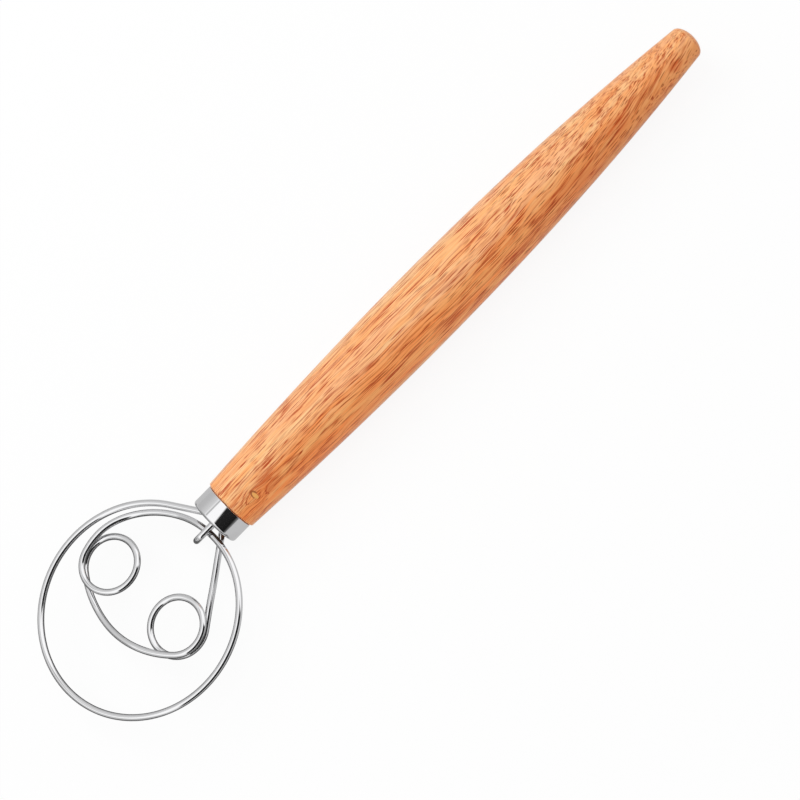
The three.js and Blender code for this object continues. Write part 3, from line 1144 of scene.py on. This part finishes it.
@dataclass
class WireHead:
    """The one wire: first tail, ring, return past the ferrule, two eyes with a crossover, and second tail.

    Bearings are radians, and a climb is the share of its stretch over which the wire changes height.
    """

    fits: Fits
    ferrule: Ferrule
    tail_depth: float = 42.0
    tail_bend: float = 4.0
    bend_depths: Pair = (1.4, 0.2)
    lip_space: float = 3.0
    tail_space: float = 0.6
    ring: float = 84.2
    ring_rise: float = 0.25
    ring_tightening: float = 0.9
    ring_tightens_at: float = math.radians(184.4)
    return_tightening: float = 1.9
    return_side: float = -5.29
    return_from: float = math.radians(-40.3)
    return_to: float = math.radians(50)
    return_offset: float = 3.8
    drop_after: float = math.radians(4)
    drop_sweep: float = math.radians(20)
    drop_layers: float = 0.6
    eye: float = 19.4
    eye_bearings: Pair = (math.radians(83.5), math.radians(-69.4))
    eye_margins: Pair = (7.4, 13.6)
    crown: float = 6.7
    approach_climb: Pair = (0.0, 0.7)
    crossover_climb: Pair = (0.25, 0.75)
    leg_two_climb: Pair = (0.15, 0.6)
    keeper_side: float = -0.7
    sides: int = 24
    step: float = 0.6
    crease: float = 50.0
    finish: Finish = DrawnSteel("wire_steel")

    ring_centre: np.ndarray = field(init=False)
    closing_centre: np.ndarray = field(init=False)
    return_centre: np.ndarray = field(init=False)
    keeper_bearing: float = field(init=False)
    eyes: tuple[np.ndarray, np.ndarray] = field(init=False)

    def __post_init__(self) -> None:
        """Works out the centres of the ring's two halves, its return and the eyes."""
        self.keeper_bearing = math.asin((self.keeper_side - self.return_side) / self.return_radius)
        x = self.ferrule.front - self.return_offset - self.return_radius * math.cos(self.keeper_bearing)
        self.return_centre = np.array([x, self.return_side])
        self.closing_centre = polar(self.return_centre, -self.return_tightening, self.return_from)
        self.ring_centre = polar(self.closing_centre, -self.ring_tightening, self.ring_tightens_at)
        reaches = [self.ring_radius - margin - self.eye_radius for margin in self.eye_margins]
        self.eyes = tuple(polar(self.ring_centre, r, a) for r, a in zip(reaches, self.eye_bearings))

    @property
    def ring_radius(self) -> float:
        """Radius of the ring's middle line."""
        return (self.ring - self.fits.wire_diameter) / 2

    @property
    def closing_radius(self) -> float:
        """Radius of the middle line of the ring's second half."""
        return self.ring_radius - self.ring_tightening

    @property
    def return_radius(self) -> float:
        """Radius of the return's middle line."""
        return self.closing_radius - self.return_tightening

    @property
    def eye_radius(self) -> float:
        """Radius of an eye's middle line."""
        return (self.eye + self.fits.wire_diameter) / 2

    @property
    def ring_height(self) -> float:
        """Height of the ring over the axis."""
        return self.ring_rise * self.fits.layer

    @property
    def tail_end(self) -> float:
        """Place where the tails end in the socket."""
        return self.ferrule.front + self.tail_depth

    @property
    def tail_sides(self) -> Pair:
        """Sideways places of the two tails."""
        wire = self.fits.wire_diameter
        return self.ferrule.mouth / 2 - wire - self.lip_space, self.keeper_side - wire - self.tail_space

    @property
    def second_height(self) -> float:
        """Height of the second leg, a layer under the ring."""
        return self.ring_height - self.fits.layer

    def touch(self, centre: np.ndarray, radius: float, point: np.ndarray, way: int) -> float:
        """Gives the bearing where a line from a point touches a circle, ahead (1) or behind (-1) of it."""
        return bearing(centre, point) + way * math.acos(radius / float(np.linalg.norm(point - centre)))

    def leg_one(self) -> tuple[np.ndarray, float]:
        """Works out the first tail and leg.

        Returns:
            Their points, and the bearing where the leg meets the ring.
        """
        side, height = self.tail_sides[0], self.ring_height
        point = np.array([self.ferrule.front + self.bend_depths[0], side])
        start = self.touch(self.ring_centre, self.ring_radius, point, 1)
        turn = corner(point, math.pi, start + QUARTER, self.tail_bend, height)
        level = Climb(height, height)
        tail = straight(np.array([self.tail_end, side]), turn[0, :2], level)
        leg = straight(turn[-1, :2], polar(self.ring_centre, self.ring_radius, start), level)
        return np.vstack([tail, turn, leg]), start

    def leg_two(self) -> tuple[np.ndarray, float]:
        """Works out the second leg and tail.

        Returns:
            Their points, and the bearing where the leg leaves the second eye.
        """
        side, height = self.tail_sides[1], self.second_height
        point = np.array([self.ferrule.front + self.bend_depths[1], side])
        end = self.touch(self.eyes[1], self.eye_radius, point, -1)
        turn = corner(point, end + QUARTER, 0.0, self.tail_bend, height)
        down = Climb(-self.fits.layer / 2, height, *self.leg_two_climb)
        leg = straight(polar(self.eyes[1], self.eye_radius, end), turn[0, :2], down)
        tail = straight(turn[-1, :2], np.array([self.tail_end, side]), Climb(height, height))
        return np.vstack([leg, turn, tail]), end

    def approach(self, height: float) -> tuple[np.ndarray, float]:
        """Works out the arc that carries on from the return and touches the first eye from outside.

        Args:
            height: Height of the return's end.

        Returns:
            Its points, and its last bearing.
        """
        start = polar(self.return_centre, self.return_radius, self.return_to)
        inward = polar(np.zeros(2), -1.0, self.return_to)
        reach = start - self.eyes[0]
        radius = (self.eye_radius**2 - reach @ reach) / (2 * (inward @ reach + self.eye_radius))
        centre = start + inward * radius
        end = angle_after(bearing(centre, self.eyes[0]), self.return_to)
        up = Climb(height, self.fits.layer / 2, *self.approach_climb)
        return bend(centre, radius, self.return_to, end, up), end

    def crossover(self) -> tuple[np.ndarray, float, float]:
        """Works out the arc from eye to eye, round the far side of both.

        Returns:
            Its points, and its first and last bearing.
        """
        one, two = self.eyes
        half = float(np.linalg.norm(two - one)) / 2
        away = (half**2 - self.crown**2) / (2 * self.crown)
        centre = polar((one + two) / 2, away, bearing(one, two) + QUARTER)
        start = bearing(centre, one)
        end = angle_after(bearing(centre, two), start)
        up = Climb(-self.fits.layer / 2, self.fits.layer / 2, *self.crossover_climb)
        return bend(centre, away + self.crown + self.eye_radius, start, end, up), start, end

    def eye_turn(self, centre: np.ndarray, start: float, leave: float) -> np.ndarray:
        """Works out a turn and a part round an eye: where it lies double, first above and then below.

        Args:
            centre: Middle of the eye.
            start: Bearing where the wire comes in.
            leave: Bearing where it leaves.

        Returns:
            Points of the turn.
        """
        over = angle_after(leave, start) - start
        sweep = 2 * math.pi + over
        sink = Climb(self.fits.layer / 2, -self.fits.layer / 2, over / sweep, 1 - over / sweep)
        return bend(centre, self.eye_radius, start, start + sweep, sink)

    def route(self) -> np.ndarray:
        """Works out the middle line of the whole wire.

        Returns:
            Its points, evenly spaced.
        """
        leg_one, ring_start = self.leg_one()
        leg_two, eye_end = self.leg_two()
        dip = self.ring_height - self.drop_layers * self.fits.layer
        approach, approach_end = self.approach(dip)
        crossover, cross_start, cross_end = self.crossover()
        sweep = self.return_to - self.return_from
        drop = (self.keeper_bearing + self.drop_after - self.return_from) / sweep
        level = Climb(self.ring_height, self.ring_height)
        sink = Climb(self.ring_height, dip, drop, drop + self.drop_sweep / sweep)
        half, ring_end = self.ring_tightens_at, angle_after(self.return_from, self.ring_tightens_at)
        stretches = [
            leg_one,
            bend(self.ring_centre, self.ring_radius, ring_start, half, level),
            bend(self.closing_centre, self.closing_radius, half, ring_end, level),
            bend(self.return_centre, self.return_radius, self.return_from, self.return_to, sink),
            approach,
            self.eye_turn(self.eyes[0], approach_end, cross_start),
            crossover,
            self.eye_turn(self.eyes[1], cross_end, eye_end),
            leg_two,
        ]
        return even(np.vstack(stretches), self.step)

    def build(self, offset: np.ndarray) -> bpy.types.Object:
        """Makes the wire along its route.

        Args:
            offset: What carries its points to the frame of the model.

        Returns:
            The new object.
        """
        skin = drawn(self.route(), self.fits.wire_radius, self.sides, np.array([0.0, 0.0, 1.0]))
        piece = skin.piece("whisk_wire_drawn", offset, self.crease, WIRE_PLACE)
        return dress(piece, self.finish, "whisk_wire")


@dataclass
class KeeperPin:
    """The hairpin round the return: an upper leg, a half turn and a lower leg, leaning to one side."""

    fits: Fits
    ferrule: Ferrule
    head: WireHead
    lean: float = math.radians(22)
    clearance: float = 0.5
    play: float = 2.7
    depth: float = 28.0
    sides: int = 24
    step: float = 0.4
    crease: float = 50.0
    finish: Finish = DrawnSteel("keeper_steel")

    @property
    def up(self) -> np.ndarray:
        """Step from the middle of the return to the upper leg."""
        height = self.fits.wire_diameter + self.clearance
        return np.array([0.0, -height * math.tan(self.lean), height])

    def build(self, offset: np.ndarray) -> bpy.types.Object:
        """Makes the pin along its route.

        Args:
            offset: What carries its points to the frame of the model.

        Returns:
            The new object.
        """
        spread = float(np.linalg.norm(self.up))
        tip = self.ferrule.front - self.head.return_offset - self.fits.wire_diameter - self.play
        middle = np.array([tip + spread, self.head.keeper_side, self.head.ring_height])
        end = np.array([self.ferrule.front + self.depth, self.head.keeper_side, self.head.ring_height])
        turn = np.pi * SHARES[:, None]
        forward = np.array([-spread, 0.0, 0.0])
        half_turn = middle + self.up * np.cos(turn) + forward * np.sin(turn)
        path = even(np.vstack([end + self.up, half_turn, end - self.up]), self.step)
        across = np.cross(self.up, forward)
        skin = drawn(path, self.fits.wire_radius, self.sides, across / np.linalg.norm(across))
        piece = skin.piece("keeper_pin_drawn", offset, self.crease, WIRE_PLACE)
        return dress(piece, self.finish, "keeper_pin")


@dataclass
class Socket:
    """The socket in the wood, and the resin that fills it."""

    fits: Fits
    head: WireHead
    cover: float = 0.5
    beyond_wire: float = 1.5
    finish: Finish = CuredResin("cured_resin")

    def radius(self, keeper_up: np.ndarray) -> float:
        """Gives the bore that takes both tails and the keeper with resin round them.

        Args:
            keeper_up: Step from the middle of the return to the keeper's upper leg.

        Returns:
            Radius of the bore.
        """
        heights = (self.head.ring_height, self.head.second_height)
        keeper = (self.head.keeper_side + keeper_up[1], self.head.ring_height + keeper_up[2])
        bundle = max(math.hypot(*place) for place in (*zip(self.head.tail_sides, heights), keeper))
        return bundle + self.fits.wire_radius + self.cover + self.fits.seat_gap

    def end(self) -> float:
        """Gives the place of the socket's bottom."""
        return self.head.tail_end + self.beyond_wire + self.fits.seat_gap

    def fill(self, resin: bpy.types.Object) -> bpy.types.Object:
        """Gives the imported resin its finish.

        Args:
            resin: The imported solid.

        Returns:
            The same object.
        """
        resin.data.materials.clear()
        resin.data.materials.append(self.finish.material())
        return resin


def dress(piece: bpy.types.Object, finish: Finish, node: str) -> bpy.types.Object:
    """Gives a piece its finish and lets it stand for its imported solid.

    Args:
        piece: The new object.
        finish: Its finish.
        node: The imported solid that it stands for.

    Returns:
        The same object.
    """
    piece.data.materials.append(finish.material())
    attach(piece, BODY)
    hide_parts(node)
    return piece


def stand(right: Triple, up: Triple, back: Triple, place: Triple) -> Matrix:
    """Gives the matrix of something at a place that faces away from its back.

    Args:
        right: Its own X axis.
        up: Its own Y axis.
        back: Its own Z axis.
        place: Where it stands.

    Returns:
        The matrix.
    """
    matrix = np.eye(4)
    matrix[:3] = np.column_stack([right, up, back, place])
    return Matrix(matrix.tolist())


@dataclass(frozen=True)
class Lamp:
    """A soft square lamp that faces the whisk. Lengths are metres."""

    name: str
    towards: Triple
    distance: float
    size: float
    watts: float

    def hang(self) -> bpy.types.Object:
        """Hangs the lamp in its direction from the middle of the whisk.

        Returns:
            The new lamp.
        """
        data = bpy.data.lights.new(self.name, "AREA")
        data.size, data.energy = self.size, self.watts
        made = bpy.data.objects.new(self.name, data)
        back = np.array(self.towards) / np.linalg.norm(self.towards)
        side = np.cross(X_AXIS, back)
        side /= np.linalg.norm(side)
        made.matrix_world = stand(np.cross(side, back), side, back, back * self.distance)
        made.visible_glossy = False
        bpy.context.scene.collection.objects.link(made)
        return made


@dataclass
class Studio:
    """The pale floor, soft lamps, surroundings and camera.

    Lengths are metres. What polished steel sees is given by angles in degrees about the handle, from the eye
    towards its near side, with one range to come in over and one to go out over. Ends are given by how far
    a direction runs along the handle, from -1 to 1, and a slant tilts a border or an end.
    """

    eye_place: Triple = (-0.004063, -0.295203, 0.70668)
    eye_right: Triple = (0.70191, -0.66040, -0.26682)
    eye_up: Triple = (0.71226, 0.65080, 0.26294)
    eye_back: Triple = (0.0, -0.37461, 0.92718)
    lens: float = 90.0
    sensor: float = 36.0
    floor_half: float = 2.5
    floor_cells: int = 8
    paper: Finish = WhitePaper("white_paper")
    daylight: float = 0.62
    lamps: tuple[Lamp, ...] = (
        Lamp("key_lamp", (-0.1, 0.7, 0.8), 1.3, 0.8, 5.0),
        Lamp("front_lamp", (0.05, -0.02, 1.0), 1.4, 1.0, 4.5),
    )
    room: float = 0.54
    wide_glow: Span = ((-92, -48), (40, 70))
    wide_glow_share: float = 0.18
    soft_box: Span = ((-56, -40), (14, 62))
    soft_box_share: float = 0.38
    dark_flag: Span = ((-5, 3), (54, 84))
    dark_flag_slants: Pair = (40, 15)
    dark_flag_ends: Span = ((-0.44, -0.34), (0.5, 0.62))
    dark_flag_end_slants: Pair = (0.2, -0.5)
    dark_flag_share: float = 0.985
    dark_line: Span = ((-48, -43), (-42, -36))
    dark_line_end: Pair = (0.3, 0.42)
    dark_line_share: float = 0.55
    dim_end: Pair = (-0.78, -0.6)
    dim_end_share: float = 0.45

    def floor(self) -> bpy.types.Object:
        """Lays the floor under the whisk.

        Returns:
            The new floor.
        """
        columns = self.floor_cells + 1
        side = np.linspace(-self.floor_half, self.floor_half, columns)
        x, y = np.meshgrid(side, side, indexing="ij")
        points = np.stack([x, y, np.zeros_like(x)], axis=-1).reshape(-1, 3)
        row, column = np.meshgrid(np.arange(self.floor_cells), np.arange(self.floor_cells), indexing="ij")
        start = (row * columns + column).ravel()
        faces = np.stack([start, start + columns, start + columns + 1, start + 1], axis=1)
        mesh = bpy.data.meshes.new("studio_floor")
        mesh.from_pydata(points.tolist(), [], faces.tolist())
        made = bpy.data.objects.new("studio_floor", mesh)
        bpy.context.scene.collection.objects.link(made)
        made.data.materials.append(self.paper.material())
        return made

    def surroundings(self) -> None:
        """Paints the surroundings: even light, white to the eye, and lights and flags in reflections."""
        world = bpy.data.worlds.new("studio")
        world.use_nodes = True
        bpy.context.scene.world = world
        graph = Graph(world.node_tree)
        way = graph.node("ShaderNodeTexCoord", output="Generated")
        right, up = np.array(self.eye_right), np.array(self.eye_up)
        long_way, cross_way = (axis / np.linalg.norm(axis) for axis in (right + up, right - up))
        lengthwise, crosswise = graph.along(way, tuple(long_way)), graph.along(way, tuple(cross_way))
        shade = self.reflected(lengthwise, crosswise, graph.along(way, self.eye_back))
        mirrored = graph.ray(Ray.GLOSSY)
        seen = graph.ray(Ray.CAMERA)
        strength = mirrored * shade + (1 - mirrored) * (self.daylight + seen * (1 - self.daylight))
        sky = graph.node("ShaderNodeBackground", None, {"Color": WHITE, "Strength": strength})
        graph.node("ShaderNodeOutputWorld", None, {"Surface": sky})

    def reflected(self, lengthwise: Value, crosswise: Value, facing: Value) -> Value:
        """Gives what polished steel sees: a soft box in a glow, a dark flag, a dark line and a dim end.

        Args:
            lengthwise: How far the direction runs along the handle, from -1 to 1.
            crosswise: How far it runs to the near side of the handle.
            facing: How far it runs towards the eye.

        Returns:
            Brightness in that direction.
        """
        turn = crosswise.angle(facing) * math.degrees(1)
        glow = self.wide_glow_share * turn.between(*self.wide_glow)
        box = self.soft_box_share * turn.between(*self.soft_box)
        slanted = [turn + slant * lengthwise for slant in self.dark_flag_slants]
        flag = slanted[0].rise(*self.dark_flag[0]) * slanted[1].fall(*self.dark_flag[1])
        ends = [lengthwise + slant * crosswise for slant in self.dark_flag_end_slants]
        flag = flag * ends[0].rise(*self.dark_flag_ends[0]) * ends[1].fall(*self.dark_flag_ends[1])
        line = turn.between(*self.dark_line) * abs(lengthwise).fall(*self.dark_line_end)
        dim = lengthwise.fall(*self.dim_end)
        bright = (self.room + glow + box) * (1 - self.dark_flag_share * flag)
        return bright * (1 - self.dark_line_share * line) * (1 - self.dim_end_share * dim)

    def camera(self) -> bpy.types.Object:
        """Sets up the camera from its place and its own axes.

        Returns:
            The new camera.
        """
        data = bpy.data.cameras.new("camera")
        data.lens, data.sensor_width = self.lens, self.sensor
        made = bpy.data.objects.new("camera", data)
        made.matrix_world = stand(self.eye_right, self.eye_up, self.eye_back, self.eye_place)
        bpy.context.scene.collection.objects.link(made)
        bpy.context.scene.camera = made
        return made

    def build(self) -> None:
        """Sets up the whole studio."""
        self.camera()
        self.floor()
        self.surroundings()
        for lamp in self.lamps:
            lamp.hang()
        bpy.context.scene.view_settings.view_transform = "Standard"


def main() -> None:
    """Builds the whisk piece by piece, then the studio."""
    logging.basicConfig(level=logging.INFO, format="%(name)s: %(message)s")
    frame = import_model()
    fits = Fits()
    ferrule = Ferrule(fits)
    head = WireHead(fits, ferrule)
    keeper = KeeperPin(fits, ferrule, head)
    socket = Socket(fits, head)
    handle = Handle(fits, ferrule, socket.radius(keeper.up), socket.end())
    low, high = (np.array(place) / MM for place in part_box("handle"))
    offset = np.array([high[0] - handle.length, (low[1] + high[1]) / 2, (low[2] + high[2]) / 2])
    for part in (handle, ferrule, head, keeper):
        piece = part.build(offset)
        LOG.info("%s: %d points", piece.name, len(piece.data.vertices))
    resin = socket.fill(frame["nodes"]["socket_resin"])
    LOG.info("%s: packed solid with a finish", resin.name)
    Studio().build()


if __name__ == "__main__":
    main()
